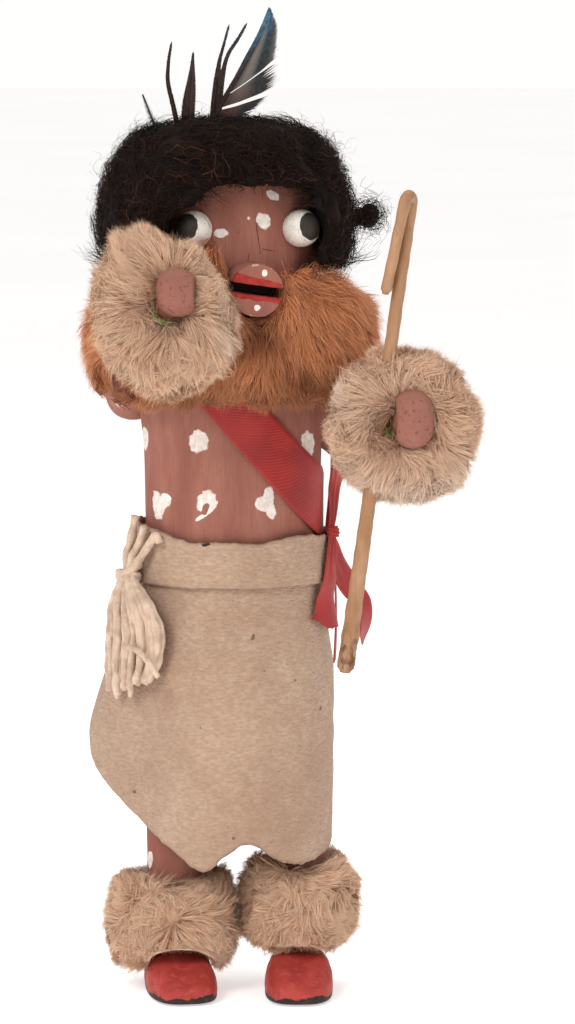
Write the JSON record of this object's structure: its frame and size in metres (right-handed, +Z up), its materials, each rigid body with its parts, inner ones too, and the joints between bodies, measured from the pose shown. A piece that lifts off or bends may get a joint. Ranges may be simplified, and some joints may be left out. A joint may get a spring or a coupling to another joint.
{
  "type": "kachina doll",
  "caption": "Carved and painted standing figure in fur trims, a leather kilt, a ribbon sash and a feathered wool wig, holding a wooden crook.",
  "frame": {"origin": "middle of the doll's own bounding box, at the height of its soles", "axes": "+Z up from the soles to the feathers, -Y the way the doll faces, +X towards the doll's left hand"},
  "size_m": [0.105, 0.0902, 0.2621],
  "materials": {
    "body_paint": "thin matt mauve-brown paint on carved wood, with white dabs",
    "white_paint": "matt white paint with black pupils",
    "red_paint": "matt red paint with a dark sole edge",
    "pale_fur": "beige rabbit fur on the skin",
    "red_fur": "russet rabbit fur on the skin",
    "black_wool": "loose dark brown-black wool",
    "feather": "dark feather with a blue sheen at the edges",
    "buckskin": "undyed soft leather, flesh side out",
    "red_ribbon": "woven red ribbon with a diagonal rib",
    "cream_yarn": "soft cream wool yarn",
    "green_yarn": "green yarn",
    "bare_wood": "peeled stick, worn smooth"
  },
  "bodies": {
    "root": {"carved_figure": "body_paint", "mouth": "body_paint", "eye_right": "white_paint", "eye_left": "white_paint", "arm_right": "body_paint", "arm_left": "body_paint", "wrist_yarn_right": "green_yarn", "wrist_yarn_left": "green_yarn", "fur_cuff_right": "pale_fur", "fur_cuff_left": "pale_fur", "moccasin_right": "red_paint", "moccasin_left": "red_paint", "fur_anklet_right": "pale_fur", "fur_anklet_left": "pale_fur", "fur_collar": "red_fur", "wig": "black_wool", "feather_large": "feather", "feather_split": "feather", "feather_short": "feather", "feather_thin": "feather", "feather_stub": "feather", "kilt": "buckskin", "belt": "buckskin", "ribbon_sash": "red_ribbon", "yarn_tassel": "cream_yarn", "crook": "bare_wood"}
  },
  "joints": []
}
